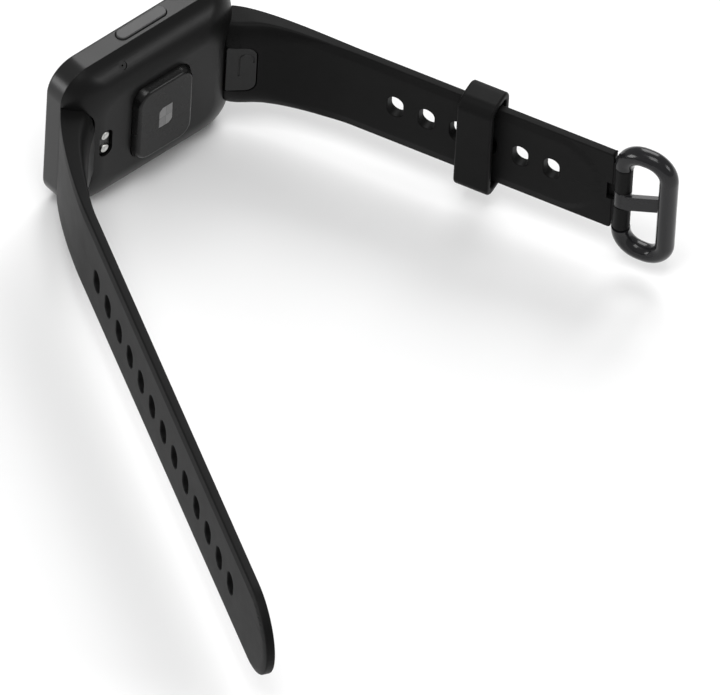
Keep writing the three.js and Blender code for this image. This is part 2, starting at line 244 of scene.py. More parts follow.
def clean(piece, sharp=35, weld=0.004):
    """Welds doubled points, turns faces outwards and smooths all but sharp edges, keeping flat faces flat."""
    with editing(piece):
        bpy.ops.mesh.select_all(action="SELECT")
        bpy.ops.mesh.remove_doubles(threshold=weld * MM)
        bpy.ops.mesh.dissolve_degenerate(threshold=0.001 * MM)
        bpy.ops.mesh.normals_make_consistent(inside=False)
    only(piece)
    bpy.ops.object.shade_smooth_by_angle(angle=math.radians(sharp))
    apply_modifier(piece, "WEIGHTED_NORMAL", keep_sharp=True)
    print(f"{piece.name}: {len(piece.data.polygons)} faces")
    return piece


def place(piece, matrix):
    """Moves a piece that was modelled at the origin, and keeps its object unturned."""
    only(piece)
    piece.matrix_world = matrix
    bpy.ops.object.transform_apply(location=True, rotation=True, scale=True)
    return piece


def mount(piece, body, slot, *nodes):
    """Says what a piece rides on, which finish it has and which solids it stands for."""
    if body:
        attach(piece, body)
    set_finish(piece, slot)
    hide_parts(*nodes)
    return piece


# %% [markdown]
# ## Case: side band
# The band is a ring of satin plastic, flat on the outside, with a soft edge round the glass and a crisp
# crease towards the back. It could be a swept profile, but a cube with rounded corners is quicker: both
# ends are inset and opened, and the two openings are bridged. The glass seat is one more inset step.


# %% Side band
def rounded_slab(name, half_x, half_z, radius, shallow, deep, x=0, z=0, segments=12):
    """A slab with round corners in the plane of the glass, between two depths."""
    slab = block(name, spot(x - half_x, shallow, z - half_z), spot(x + half_x, deep, z + half_z))
    return round_corners(slab, 1, radius, segments)


WALL, SEAT, SEAT_DEPTH = 2.0, 1.1, 1.2
case_band = rounded_slab("case_band", HALF_LENGTH, HALF_WIDTH, CORNER, LIP_DEPTH, CREASE_DEPTH, segments=16)
with editing(case_band):
    pick(case_band, "FACE", faces((0, 1, 0)))
    bpy.ops.mesh.inset(thickness=SEAT * MM)
    bpy.ops.mesh.extrude_region_move(
        TRANSFORM_OT_translate={"value": (0, -(SEAT_DEPTH - LIP_DEPTH) * MM, 0)})
    bpy.ops.mesh.inset(thickness=(WALL - SEAT) * MM)
    bpy.ops.mesh.delete(type="FACE")
    pick(case_band, "FACE", faces((0, -1, 0)))
    bpy.ops.mesh.inset(thickness=WALL * MM)
    bpy.ops.mesh.delete(type="FACE")
    bpy.ops.mesh.select_mode(type="EDGE")
    bpy.ops.mesh.select_all(action="DESELECT")
    bpy.ops.mesh.select_non_manifold()
    bpy.ops.mesh.bridge_edge_loops()


def on_outline(depth):
    """A test for the edges of the case's outer outline at one depth."""
    level = spot(0, depth, 0).y

    def test(edge):
        here = middle(edge)
        out_x, out_z = abs(here.x) / MM, abs(here.z / MM - HALF_WIDTH)
        outer = max(out_x / HALF_LENGTH, out_z / HALF_WIDTH)
        corner = (out_x - HALF_LENGTH + CORNER, out_z - HALF_WIDTH + CORNER)
        on_arc = min(corner) > 0 and math.hypot(*corner) > CORNER - 0.3
        return abs(here.y - level) < 1e-6 and not runs(edge, 1) and (outer > 0.999 or on_arc)

    return test


LIP_ROUND, CREASE_ROUND = 0.55, 0.1
with editing(case_band):
    pick(case_band, "EDGE", on_outline(LIP_DEPTH))
    bpy.ops.mesh.bevel(offset=LIP_ROUND * MM, segments=5, affect="EDGES")
    pick(case_band, "EDGE", on_outline(CREASE_DEPTH))
    bpy.ops.mesh.bevel(offset=CREASE_ROUND * MM, segments=2, affect="EDGES")

# %% [markdown]
# ## Case: side button
# The button is a satin pill in a pill-shaped pocket, standing 0.4 mm proud. The same function makes the
# pocket's cutter and the button, so the gap round it is even.

# %% Side button
button_low, button_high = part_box("side_button")
BUTTON_X = (button_low.x + button_high.x) / 2 / MM
BUTTON_DEPTH = 2.4
BUTTON_HALF_LONG, BUTTON_HALF_TALL = 5.9, 1.3
BUTTON_TOP = button_high.z / MM - HALF_WIDTH
BUTTON_THICK, POCKET_DEEP, POCKET_GAP = 1.0, 1.35, 0.2


def button_pill(name, grow, low, high):
    """A pill along the case's side wall, between two heights."""
    half_long, half_tall = BUTTON_HALF_LONG + grow, BUTTON_HALF_TALL + grow
    pill = block(name, spot(BUTTON_X - half_long, BUTTON_DEPTH - half_tall, low),
                 spot(BUTTON_X + half_long, BUTTON_DEPTH + half_tall, high))
    return round_corners(pill, 2, half_tall * FULL_ROUND, 12)


combine(case_band, button_pill("pocket", POCKET_GAP, BUTTON_TOP - POCKET_DEEP, BUTTON_TOP + 2))
clean(case_band)
mount(case_band, "case", "case_band", "mid_frame")
button = button_pill("button_cap", 0, BUTTON_TOP - BUTTON_THICK, BUTTON_TOP)
round_rim(button, (0, 0, 1), 0.22, 4)
clean(button, 50)
mount(button, "button", "button_metal", "side_button")

# %% [markdown]
# ## Case: back cover
# Below the crease the back rolls over in one soft arc to a flat face. The cover starts as a thin slab with
# the case's outline. Its back face is extruded in short steps, and each step is drawn in a little, so that
# the steps follow a circle. Drawing in by scale also keeps the corners round all the way. The pockets for
# the two strap roots, the sensor cover and the contacts are then cut, and the inside is hollowed.

# %% Back cover
BACK_INSET = 7.4
ROLL = (BACK_INSET ** 2 + (BACK_DEPTH - CREASE_DEPTH) ** 2) / (2 * (BACK_DEPTH - CREASE_DEPTH))
ROLL_STEPS = 18
PARTING, FIRST_SLICE = 0.06, 0.02
back_shell = rounded_slab("back_shell", HALF_LENGTH, HALF_WIDTH, CORNER, CREASE_DEPTH + PARTING,
                          CREASE_DEPTH + PARTING + FIRST_SLICE, segments=16)


def roll_point(share):
    """How far the arc has come in and how deep it is, from the crease at 0 to the flat face at 1."""
    angle = math.asin(BACK_INSET / ROLL) * (1 - share)
    return BACK_INSET - ROLL * math.sin(angle), BACK_DEPTH - ROLL * (1 - math.cos(angle))


with editing(back_shell):
    pick(back_shell, "FACE", faces((0, -1, 0)))
    inset_before, depth_before = 0, CREASE_DEPTH + PARTING + FIRST_SLICE
    for step in range(1, ROLL_STEPS + 1):
        inset, depth = roll_point(step / ROLL_STEPS)
        if depth <= depth_before:
            continue
        bpy.ops.mesh.extrude_region_move(
            TRANSFORM_OT_translate={"value": (0, -(depth - depth_before) * MM, 0)})
        bpy.ops.transform.resize(
            value=((HALF_LENGTH - inset) / (HALF_LENGTH - inset_before), 1,
                   (HALF_WIDTH - inset) / (HALF_WIDTH - inset_before)),
            center_override=spot(0, depth, 0))
        inset_before, depth_before = inset, depth

BUMP_X, BUMP_Z, BUMP_CORNER, SEAM = 7.1, 9.5, 3.2, 0.15
CONTACT_X, CONTACT_HALF_X, CONTACT_HALF_Z = -13.5, 1.4, 3.3
ROOT_FACE, ROOT_HALF, END_CORNER = 16.5, 11.0, 4.2
ROOT_POCKET_X, ROOT_POCKET_HALF = ROOT_FACE - 0.25 + 9, 9
HOLLOW_X, HOLLOW_Z, HOLLOW_FLOOR = 14.4, 12.2, 7.9
CATCH_START, CATCH_END, CATCH_HALF, CATCH_DEPTHS = 13.8, 19.6, 6.65, (5.85, 7.15)
PAST_BACK = 14
for side in (1, -1):
    for radius, floor_depth in ((0.7, 6.9), (END_CORNER + SEAM, PAST_BACK)):
        pocket = rounded_slab("pocket", ROOT_POCKET_HALF, ROOT_HALF + SEAM, radius, 0, floor_depth,
                              x=side * ROOT_POCKET_X)
        combine(back_shell, pocket)
combine(back_shell, rounded_slab("pocket", BUMP_X + SEAM, BUMP_Z + SEAM, BUMP_CORNER + SEAM, 8.0, PAST_BACK))
combine(back_shell, rounded_slab("pocket", CONTACT_HALF_X + SEAM, CONTACT_HALF_Z + SEAM,
                                 (CONTACT_HALF_X + SEAM) * FULL_ROUND, 7.0, PAST_BACK, x=CONTACT_X))
combine(back_shell, block("hollow", spot(-HOLLOW_X, 3, -HOLLOW_Z), spot(HOLLOW_X, HOLLOW_FLOOR, HOLLOW_Z)))
for side in (1, -1):
    combine(back_shell, block("catch", spot(side * CATCH_START, CATCH_DEPTHS[0], -CATCH_HALF),
                              spot(side * CATCH_END, CATCH_DEPTHS[1], CATCH_HALF)))

# %% [markdown]
# The microphone port is a shallow round dish in the roll-off with a small hole in its middle. A cylinder
# with a narrower one standing on it makes both in one cut.

# %% Microphone port
PORT_X, PORT_Z, DISH_RADIUS, PORT_RADIUS = -8.1, 16.0, 0.95, 0.2


def rod(name, radius, start, end, vertices=32):
    """A cylinder between two points."""
    line = end - start
    turn = line.to_track_quat("Z", "Y").to_euler()
    bpy.ops.mesh.primitive_cylinder_add(vertices=vertices, radius=radius * MM, depth=line.length,
                                        location=(start + end) / 2, rotation=turn)
    return settle(name)


port_way = Vector((0, -0.78, 0.62))
port_floor = spot(PORT_X, 7.1, PORT_Z)
combine(back_shell, rod("dish", DISH_RADIUS, port_floor, port_floor + port_way * 3 * MM))
combine(back_shell, rod("port", PORT_RADIUS, port_floor - port_way * 1.2 * MM,
                        port_floor + port_way * MM, 20))
clean(back_shell, 30)
mount(back_shell, "case", "case_back", "back_cover")

# %% [markdown]
# ## Sensor cover and window
# The cover is a raised rounded square with steep sides and a soft rim. The window lies flush in it. Two of
# the window's corners are cut off, which shows which way round it goes, so the same outline is used for the
# window and for the hole that it sits in.

# %% Sensor cover
sensor_bump = rounded_slab("sensor_bump", BUMP_X, BUMP_Z, BUMP_CORNER, 8.15, BACK_DEPTH + 0.1)
BUMP_DRAFT, BUMP_RIM = 0.5, 0.55
BUMP_HOLLOW_X, BUMP_HOLLOW_Z, BUMP_HOLLOW_FLOOR = 5.6, 8.0, 10.1
with editing(sensor_bump):
    pick(sensor_bump, "FACE", faces((0, -1, 0)))
    bpy.ops.mesh.extrude_region_move(
        TRANSFORM_OT_translate={"value": (0, -(BUMP_DEPTH - BACK_DEPTH - 0.1) * MM, 0)})
    bpy.ops.transform.resize(value=(1 - BUMP_DRAFT / BUMP_X, 1, 1 - BUMP_DRAFT / BUMP_Z),
                             center_override=spot(0, BUMP_DEPTH, 0))
round_rim(sensor_bump, (0, -1, 0), BUMP_RIM, 6)
WINDOW_X, WINDOW_Z, WINDOW_CUT = 1.65, 2.6, 0.8


def window_slab(name, grow, shallow, deep):
    slab = block(name, spot(-WINDOW_X - grow, shallow, -WINDOW_Z - grow),
                 spot(WINDOW_X + grow, deep, WINDOW_Z + grow))
    return round_corners(slab, 1, WINDOW_CUT, 1, lambda p: p.x * (p.z / MM - HALF_WIDTH) < 0)


combine(sensor_bump, window_slab("opening", 0.04, 7, 14))
combine(sensor_bump, block("hollow", spot(-BUMP_HOLLOW_X, 7, -BUMP_HOLLOW_Z),
                           spot(BUMP_HOLLOW_X, BUMP_HOLLOW_FLOOR, BUMP_HOLLOW_Z)))
clean(sensor_bump, 30)
mount(sensor_bump, "case", "sensor_cover", "sensor_cover")
window = window_slab("sensor_glass", 0, 10.2, BUMP_DEPTH - 0.03)
round_rim(window, (0, -1, 0), 0.06, 2)
clean(window)
mount(window, "case", "sensor_window", "sensor_window")

# %% [markdown]
# ## Charging contacts
# Two plated pads sit in a black pill-shaped insert, a little below the back. Each pad is a turned disc with
# a rounded rim and a shallow dimple, made from a cylinder by one bevel and one inset.

# %% Charging contacts
PAD_RADIUS, PAD_Z = 0.97, 1.75
PAD_DEPTH, INSERT_DEPTH = BACK_DEPTH - 0.25, BACK_DEPTH - 0.7
insert = rounded_slab("contact_insert", CONTACT_HALF_X, CONTACT_HALF_Z, CONTACT_HALF_X * FULL_ROUND, 7.3,
                      INSERT_DEPTH, x=CONTACT_X)
round_rim(insert, (0, -1, 0), 0.12, 2)
for z in (PAD_Z, -PAD_Z):
    combine(insert, rod("bore", PAD_RADIUS + 0.12, spot(CONTACT_X, 6.9, z), spot(CONTACT_X, 12, z)))
clean(insert)
mount(insert, "case", "insulator", "contact_insulator")
for name, z in (("upper", PAD_Z), ("lower", -PAD_Z)):
    pad = rod("contact_pad_" + name, PAD_RADIUS, spot(CONTACT_X, 7.4, z), spot(CONTACT_X, PAD_DEPTH, z), 40)
    round_rim(pad, (0, -1, 0), 0.22, 4)
    with editing(pad):
        pick(pad, "FACE", faces((0, -1, 0)))
        bpy.ops.mesh.inset(thickness=0.2 * MM)
        bpy.ops.mesh.inset(thickness=0.12 * MM, depth=-0.07 * MM)
    clean(pad, 50)
    mount(pad, "case", "contact", "contact_" + name)

# %% [markdown]
# ## Cover glass
# The glass faces away in the main view and shows from the front. Its rim curves down into the band.

# %% Cover glass
GLASS_INSET = 1.25
cover_glass = rounded_slab("cover_glass", HALF_LENGTH - GLASS_INSET, HALF_WIDTH - GLASS_INSET,
                           CORNER - GLASS_INSET, 0, 0.88, segments=16)
round_rim(cover_glass, (0, 1, 0), 0.55, 6)
clean(cover_glass, 50)
mount(cover_glass, "case", "front_glass", "front_glass")

# %% [markdown]
# ## Straps: the plan curve
# Seen along the case's side, each strap leaves the case as a thick wedge, bends towards the wrist and turns
# straight. The wedge lies between an outer and an inner curve. A strap is modelled flat first, where holes
# and edges are easy to make: s runs along it, n goes in from its outer face and z goes across. Then every
# point is carried onto the plan, which bends the root and leaves the rest straight.

# %% Plan curve
LEAN = math.radians(22.4)
STRAIGHT_X = {1: 33.6, -1: 34.7}
STRAIGHT_DEPTH = 28.0
THICK, STRAP_HALF = 1.8, 10.05
ROOT_LONG, ROOT_STUB = 28.0, 5.0
OUTER_START, INNER_START = (21.4, 4.9), (21.25, 13.25)
OUTER_END_DEPTH, INNER_END_DEPTH = 4.85, BACK_DEPTH + 0.1


def bezier(t, *points):
    a, b, c, d = (Vector(p) for p in points)
    u = 1 - t
    return a * u ** 3 + b * 3 * u * u * t + c * 3 * u * t * t + d * t ** 3


def along(side):
    return Vector((side * math.sin(LEAN), -math.cos(LEAN), 0))


def inward(side):
    return Vector((-side * math.cos(LEAN), -math.sin(LEAN), 0))


def on_strap(side, s, n, z=0):
    """A point of the straight part, in metres."""
    return spot(side * STRAIGHT_X[side], STRAIGHT_DEPTH, z) + (along(side) * s + inward(side) * n) * MM


def inner_end(side):
    """Along and depth, in millimetres, of the inner face where the strap turns straight."""
    step = inward(side) * THICK
    return side * (side * STRAIGHT_X[side] + step.x), STRAIGHT_DEPTH - step.y


ROOT_ROUND_ACROSS, ROOT_ROUND_DEEP = 4.4, 2.8
ROOT_ROUND_FROM, ROOT_ROUND_RUN = 3, 25


def ease(share):
    """A smooth step from 0 to 1."""
    share = max(0.0, min(1.0, share))
    return share * share * (3 - 2 * share)


def root_round(s, z, thick):
    """The share of its thickness that the root keeps near its upper and lower edge: a quarter round there."""
    fade = ease((-s - ROOT_ROUND_FROM) / ROOT_ROUND_RUN)
    across = ROOT_ROUND_ACROSS * fade
    into = abs(z) - (STRAP_HALF - across)
    if fade == 0 or into <= 0:
        return 1
    return 1 - ROOT_ROUND_DEEP / thick * fade * (1 - math.sqrt(max(0.0, 1 - (into / across) ** 2)))


SKIN = 0.5


def through(n, thick):
    """Where a depth of the flat strap lies in a thick root, as a share. Borders keep their size."""
    if n <= SKIN:
        return n / thick
    if n >= THICK - SKIN:
        return 1 - (THICK - n) / thick
    share = (n - SKIN) / (THICK - 2 * SKIN)
    return (SKIN + share * (thick - 2 * SKIN)) / thick


def end_round(x_from_end, share):
    """The share of its half width that the root keeps at its end: square outside, round inside."""
    radius = END_CORNER * max(0.0, min(1.0, share))
    gap = radius - max(0.0, x_from_end)
    if gap <= 0:
        return 1
    return 1 - (radius - math.sqrt(radius ** 2 - gap ** 2)) / ROOT_HALF


def on_plan(side, s, n, z):
    """Where a point of the flat strap goes, in metres. What stands proud of its faces fades at the case."""
    if s >= 0:
        return on_strap(side, s, n, z)
    proud = 1 - ease(-s / ROOT_LONG)
    if n < 0:
        n = n * proud
    elif n > THICK:
        n = THICK + (n - THICK) * proud
    far = STRAIGHT_X[side]
    end_x, end_depth = inner_end(side)
    t = 1 + s / ROOT_LONG
    if t >= 0:
        outer = bezier(t, OUTER_START, (25.4, 8.7), (far - 3.2, 19.9), (far, STRAIGHT_DEPTH))
        inner = bezier(t, INNER_START, (25.0, 16.1), (end_x - 2.8, 22.1), (end_x, end_depth))
        widen = 1 + (ROOT_HALF / STRAP_HALF - 1) * ease(1 - t)
    else:
        back = -t * ROOT_LONG / ROOT_STUB
        outer = Vector(OUTER_START).lerp(Vector((ROOT_FACE, OUTER_END_DEPTH)), back)
        inner = Vector(INNER_START).lerp(Vector((ROOT_FACE, INNER_END_DEPTH)), back)
        widen = ROOT_HALF / STRAP_HALF
    thick = (inner - outer).length
    share = through(n, thick) * root_round(s, z, thick)
    point = outer.lerp(inner, share)
    widen *= end_round(point.x - ROOT_FACE, share)
    return spot(side * point.x, point.y, z * widen)


print("buckle strap turns straight at", tuple(round(v / MM, 1) for v in on_strap(1, 0, 0)))

# %% [markdown]
# ## Straps: the flat blank
# The blank is a slab whose end is rounded or square. Both faces have a shallow border that falls away to
# the edge. A border is an inset whose outline is then lowered, so that it follows the end, whatever its
# shape. The edge itself is rounded before any hole is cut, while its outline is still easy to pick. The
# adjustment holes are cut with one flared cutter, copied along the strap.


# %% Flat blank
def flat(s, n, z):
    return Vector((s, n, z)) * MM


OUTER_BORDER, OUTER_DROP, OUTER_PROUD = 1.5, 0.4, 0.3
INNER_BORDER, INNER_DROP, INNER_PROUD, EDGE_ROUND = 2.1, 0.26, 0.2, 0.25
ROOT_START = -(ROOT_LONG + ROOT_STUB)


def on_wall(vertex):
    """Whether a vertex belongs to the strap's side wall."""
    return any(abs(face.normal.y) < 0.5 for face in vertex.link_faces)


def lower_border(blank, way, border, drop):
    """Gives the outer (-1) or inner (1) face a sloping border."""
    with editing(blank):
        pick(blank, "FACE", faces((0, way, 0)))
        top = next(face for face in bmesh.from_edit_mesh(blank.data).faces if face.select)
        level = top.calc_center_median().y
        bpy.ops.mesh.inset(thickness=border * MM)
        pick(blank, "VERT", lambda v: abs(v.co.y - level) < 1e-7 and on_wall(v))
        bpy.ops.transform.translate(value=(0, -way * drop * MM, 0))
    return blank


def round_outline(blank, width):
    """Rounds the edges between the side wall and the two faces."""

    def is_outline(edge):
        flat_faces = {abs(face.normal.y) > 0.7 for face in edge.link_faces}
        return len(edge.link_faces) == 2 and flat_faces == {True, False}

    with editing(blank):
        pick(blank, "EDGE", is_outline)
        bpy.ops.mesh.bevel(offset=width * MM, segments=3, affect="EDGES")
    return blank


def strap_blank(name, start, end, low_n, high_n, half, tip=0):
    """A flat slab from the case to its end, which is square with small corners or a round tip."""
    blank = block(name, flat(start, low_n, -half), flat(end, high_n, half))
    round_corners(blank, 1, 0.5, 2, lambda p: p.x < 0)
    round_corners(blank, 1, half * FULL_ROUND if tip else 0.7, 20 if tip else 5, lambda p: p.x > 0)
    if tip:
        with editing(blank):
            pick(blank, "VERT", lambda v: v.co.x > (end - half - 0.01) * MM)
            bpy.ops.transform.resize(value=(tip / half, 1, 1), center_override=flat(end, 0, 0))
    return blank


HOLE_PITCH, HOLE_HALF_LONG, HOLE_HALF_TALL = 6.6, 1.65, 2.55
FLARE = 0.16


def hole_cutter(s):
    """A pill that widens where it meets both faces of the strap."""
    cutter = block("hole", flat(s - HOLE_HALF_LONG, FLARE - OUTER_PROUD, -HOLE_HALF_TALL),
                   flat(s + HOLE_HALF_LONG, THICK + INNER_PROUD - FLARE, HOLE_HALF_TALL))
    round_corners(cutter, 1, HOLE_HALF_LONG * FULL_ROUND, 9)
    wider = (1 + FLARE / HOLE_HALF_LONG, 1, 1 + FLARE / HOLE_HALF_TALL)
    for way in (-1, 1):
        with editing(cutter):
            pick(cutter, "FACE", faces((0, way, 0)))
            bpy.ops.mesh.extrude_region_move(TRANSFORM_OT_translate={"value": (0, way * FLARE * MM, 0)})
            bpy.ops.transform.resize(value=wider, center_override=flat(s, 0, 0))
            bpy.ops.mesh.extrude_region_move(TRANSFORM_OT_translate={"value": (0, way * MM, 0)})
    return cutter


def punch(blank, first, count):
    """Cuts a row of holes with one cutter and its copies."""
    cutter = hole_cutter(first)
    copies = [cutter]
    for number in range(1, count):
        copy = cutter.copy()
        copy.data = cutter.data.copy()
        bpy.context.collection.objects.link(copy)
        copy.location.x = number * HOLE_PITCH * MM
        copies.append(copy)
    only(cutter)
    for copy in copies:
        copy.select_set(True)
    bpy.ops.object.join()
    return combine(blank, cutter)


# %% [markdown]
# Before a strap is bent, the root needs cross cuts, or its long faces would stay flat. Bisect adds them
# without changing the shape. A second helper rounds every edge that turns by more than an angle.


# %% Bending onto the plan
CUTS_ALONG = range(1, 40)
CUTS_ACROSS = (1.4, 4.2, 5.5, 6.3, 7.0, 7.6, 8.2, 8.7, 9.1, 9.45, 9.7)


def bisect(point, normal):
    """Adds a cut through the whole mesh, without changing its shape."""
    bpy.ops.mesh.select_all(action="SELECT")
    bpy.ops.mesh.bisect(plane_co=point, plane_no=normal)


def bend_onto_plan(blank, side):
    """Cuts a flat strap across and along, closer where the root is round, and carries it onto the plan."""
    with editing(blank):
        for cut in CUTS_ALONG:
            bisect(flat(ROOT_START + cut, 0, 0), (1, 0, 0))
        for cut in CUTS_ACROSS:
            for height in (cut, -cut):
                bisect(flat(0, 0, height), (0, 0, 1))
    for vertex in blank.data.vertices:
        s, n, z = vertex.co / MM
        vertex.co = on_plan(side, s, n, z)
    return blank


def soften_rims(piece, width, segments, angle):
    """Rounds every edge that turns by more than an angle."""
    apply_modifier(piece, "BEVEL", width=width * MM, segments=segments, limit_method="ANGLE",
                   angle_limit=math.radians(angle), use_clamp_overlap=False)
    return piece


# %% [markdown]
# ## Tail strap
# A long blank with a round tip and thirteen holes. Root and band are one moulding on the real strap, so
# they are one mesh here, which bends smoothly across the joint between the two solids.

# %% Tail strap
TAIL_END, TIP_LONG, TAIL_FIRST, TAIL_HOLES = 107.6, 10.6, 7.9, 13
tail_strap = strap_blank("tail_strap", ROOT_START, TAIL_END, -OUTER_PROUD, THICK + INNER_PROUD,
                         STRAP_HALF, TIP_LONG)
lower_border(tail_strap, -1, OUTER_BORDER, OUTER_DROP)
lower_border(tail_strap, 1, INNER_BORDER, INNER_DROP)
round_outline(tail_strap, EDGE_ROUND)
punch(tail_strap, TAIL_FIRST, TAIL_HOLES)
bend_onto_plan(tail_strap, -1)

# %% [markdown]
# ## Buckle strap
# A shorter blank with six holes and a square end. The raised middle of its inner face stops earlier, in a
# large arc, so it is a second slab with a round end that is joined to the first. A round knuckle at the end
# carries the buckle pin, and a notch in the middle leaves room for the tongue.

# %% Buckle strap
PLATE_END, PIN_AT, PIN_N, KNUCKLE_RADIUS, KNUCKLE_HALF = 54.6, 56.8, 1.7, 1.7, 8.2
NOTCH_HALF, PIN_RADIUS = 2.15, 0.8
BUCKLE_FIRST, BUCKLE_HOLES, CROWN_END = 8.8, 6, 52.6


def on_pin(half):
    """The two ends of a rod on the pin's line, from its half length."""
    return flat(PIN_AT, PIN_N, -half), flat(PIN_AT, PIN_N, half)


base = THICK + INNER_PROUD - INNER_DROP
buckle_strap = strap_blank("buckle_strap", ROOT_START, PLATE_END, -OUTER_PROUD, base, STRAP_HALF)
lower_border(buckle_strap, -1, OUTER_BORDER, OUTER_DROP)
round_outline(buckle_strap, EDGE_ROUND)
crown_half = STRAP_HALF - EDGE_ROUND
crown = strap_blank("crown", ROOT_START + EDGE_ROUND, CROWN_END, THICK / 2, THICK + INNER_PROUD,
                    crown_half, crown_half)
lower_border(crown, 1, INNER_BORDER - EDGE_ROUND, INNER_DROP + 0.01)
combine(buckle_strap, crown, "UNION")
knuckle = rod("knuckle", KNUCKLE_RADIUS, *on_pin(KNUCKLE_HALF), 40)
for way in (1, -1):
    round_rim(knuckle, (0, 0, way), 0.25, 3)
combine(knuckle, block("web", flat(PLATE_END - 1.0, 0.42, 0.2 - KNUCKLE_HALF),
                       flat(PIN_AT, base - 0.12, KNUCKLE_HALF - 0.2)), "UNION")
combine(buckle_strap, knuckle, "UNION")
for reach, low_n in ((1.95, -3), (3.4, 0.75)):
    combine(buckle_strap, block("notch", flat(PIN_AT - reach, low_n, -NOTCH_HALF),
                                flat(PIN_AT + 4, 6, NOTCH_HALF)))
combine(buckle_strap, rod("bore", PIN_RADIUS + 0.1, *on_pin(12), 24))
punch(buckle_strap, BUCKLE_FIRST, BUCKLE_HOLES)
bend_onto_plan(buckle_strap, 1)

# %% [markdown]
# ## Release tabs
# On the inner face of each root, next to the case, lies a small plate that frees the strap when it is
# pressed. It has an arch-shaped groove for the fingertip. The plate's frame leans with the face of the
# root, so it is modelled flat and then placed. The groove's cutter is a thin round bar: a leg, a half turn
# by spin, and a second leg. The same outline, a little larger, cuts the plate's pocket in the root.

# %% Release tabs
TAB_LONG, TAB_REACH, TAB_TALL, TAB_THICK = 5.4, 0.4, 11.7, 1.2
TAB_ANGLE = math.atan2(INNER_START[1] - INNER_END_DEPTH, INNER_START[0] - ROOT_FACE)


def tab_matrix(side):
    """Local X runs away from the case, local Z runs out of the root's inner face and local Y runs up."""
    middle_x = side * (ROOT_FACE + INNER_START[0]) / 2
    centre = spot(middle_x, (INNER_END_DEPTH + INNER_START[1]) / 2, 0)
    away = Vector((side * math.cos(TAB_ANGLE), -math.sin(TAB_ANGLE), 0))
    up = Vector((0, 0, side))
    out = away.cross(up)
    return Matrix.Translation(centre) @ Matrix((away, up, out)).transposed().to_4x4()


def tab_plate(name, grow, top, bottom):
    """The tab's outline, with large corners away from the case and small ones next to it."""
    plate = block(name, flat(-TAB_LONG / 2 - TAB_REACH - grow, -TAB_TALL / 2 - grow, bottom),
                  flat(TAB_LONG / 2 + grow, TAB_TALL / 2 + grow, top))
    round_corners(plate, 2, 2.1 + grow, 8, lambda p: p.x > 0)
    return round_corners(plate, 2, 0.4, 3, lambda p: p.x < -TAB_LONG * 0.49 * MM)


GROOVE_RADIUS, ARCH_RADIUS, ARCH_X, ARCH_Y = 0.19, 1.4, 0.75, 2.8
LEG_LONG, LEG_SHORT = 4.6, 0.9


def extrude(way):
    """Extrudes the selected face by a step in millimetres."""
    bpy.ops.mesh.extrude_region_move(TRANSFORM_OT_translate={"value": flat(*way)})


def join_ends():
    """Welds the seams that spinning leaves and turns the faces outwards."""
    bpy.ops.mesh.select_all(action="SELECT")
    bpy.ops.mesh.remove_doubles(threshold=1e-6)
    bpy.ops.mesh.normals_make_consistent(inside=False)


def groove_cutter(side):
    top_y = side * ARCH_Y
    bpy.ops.mesh.primitive_circle_add(vertices=10, radius=GROOVE_RADIUS * MM, fill_type="NGON",
                                      location=flat(ARCH_X - ARCH_RADIUS, top_y - side * LEG_LONG, 0),
                                      rotation=(math.pi / 2, 0, 0))
    bar = settle("groove")
    with editing(bar):
        bpy.ops.mesh.select_all(action="SELECT")
        extrude((0, side * LEG_LONG, 0))
        bpy.ops.mesh.spin(steps=16, angle=side * math.pi, center=flat(ARCH_X, top_y, 0), axis=(0, 0, 1))
        extrude((0, -side * LEG_SHORT, 0))
        join_ends()
    return bar


SLOT_END, SLOT_HALF, SLOT_DEPTHS = 19.8, 6.9, (5.7, 7.3)
straps = {1: ("buckle", buckle_strap), -1: ("tail", tail_strap)}
for side, (end_name, strap) in straps.items():
    combine(strap, place(tab_plate("recess", 0.22, 3, -2.1), tab_matrix(side)))
    combine(strap, block("slot", spot(side * 12, SLOT_DEPTHS[0], -SLOT_HALF),
                         spot(side * SLOT_END, SLOT_DEPTHS[1], SLOT_HALF)))
    clean(strap, 32)
    end_name + "_root"
    end_name + "_band"
    on_strap(side, -9, THICK / 2)
    on_strap(side, 5, THICK / 2)
    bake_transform(strap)
    mount(strap, None, "strap", end_name + "_strap_root", end_name + "_strap_band")
    tab = tab_plate(end_name + "_tab", 0, -0.05, -TAB_THICK)
    round_rim(tab, (0, 0, 1), 0.1, 2)
    combine(tab, groove_cutter(side))
    clean(place(tab, tab_matrix(side)), 15)
    mount(tab, end_name + "_tab", "release_tab", end_name + "_release_tab")

# %% [markdown]
# ## Keeper
# The keeper is a soft loop that slides on the buckle strap. A rounded block is inset at both ends, the two
# insets are bridged into a tunnel, and the rims are rounded generously, as on a moulded loop.

# %% Keeper
KEEPER_AT, KEEPER_WIDE, KEEPER_WALL, KEEPER_IN = 26.6, 7.4, 1.5, (-1.3, 3.5)
keeper_half = STRAP_HALF + 0.65 + KEEPER_WALL


def flat_to_strap(side):
    """Carries flat millimetre drawings of the straight part onto the strap."""
    matrix = Matrix((along(side), inward(side), Vector((0, 0, 1)))).transposed().to_4x4()
    return Matrix.Translation(on_strap(side, 0, 0)) @ matrix


keeper = block("keeper", flat(KEEPER_AT - KEEPER_WIDE / 2, KEEPER_IN[0] - KEEPER_WALL, -keeper_half),
               flat(KEEPER_AT + KEEPER_WIDE / 2, KEEPER_IN[1] + KEEPER_WALL, keeper_half))
round_corners(keeper, 0, 2.6, 10)
with editing(keeper):
    pick(keeper, "FACE", lambda f: abs(f.normal.x) > 0.99)
    bpy.ops.mesh.inset(thickness=KEEPER_WALL * MM)
    bpy.ops.mesh.bridge_edge_loops()
soften_rims(keeper, 0.5, 5, 60)
clean(place(keeper, flat_to_strap(1)), 50)
mount(keeper, "keeper", "strap", "keeper_loop")

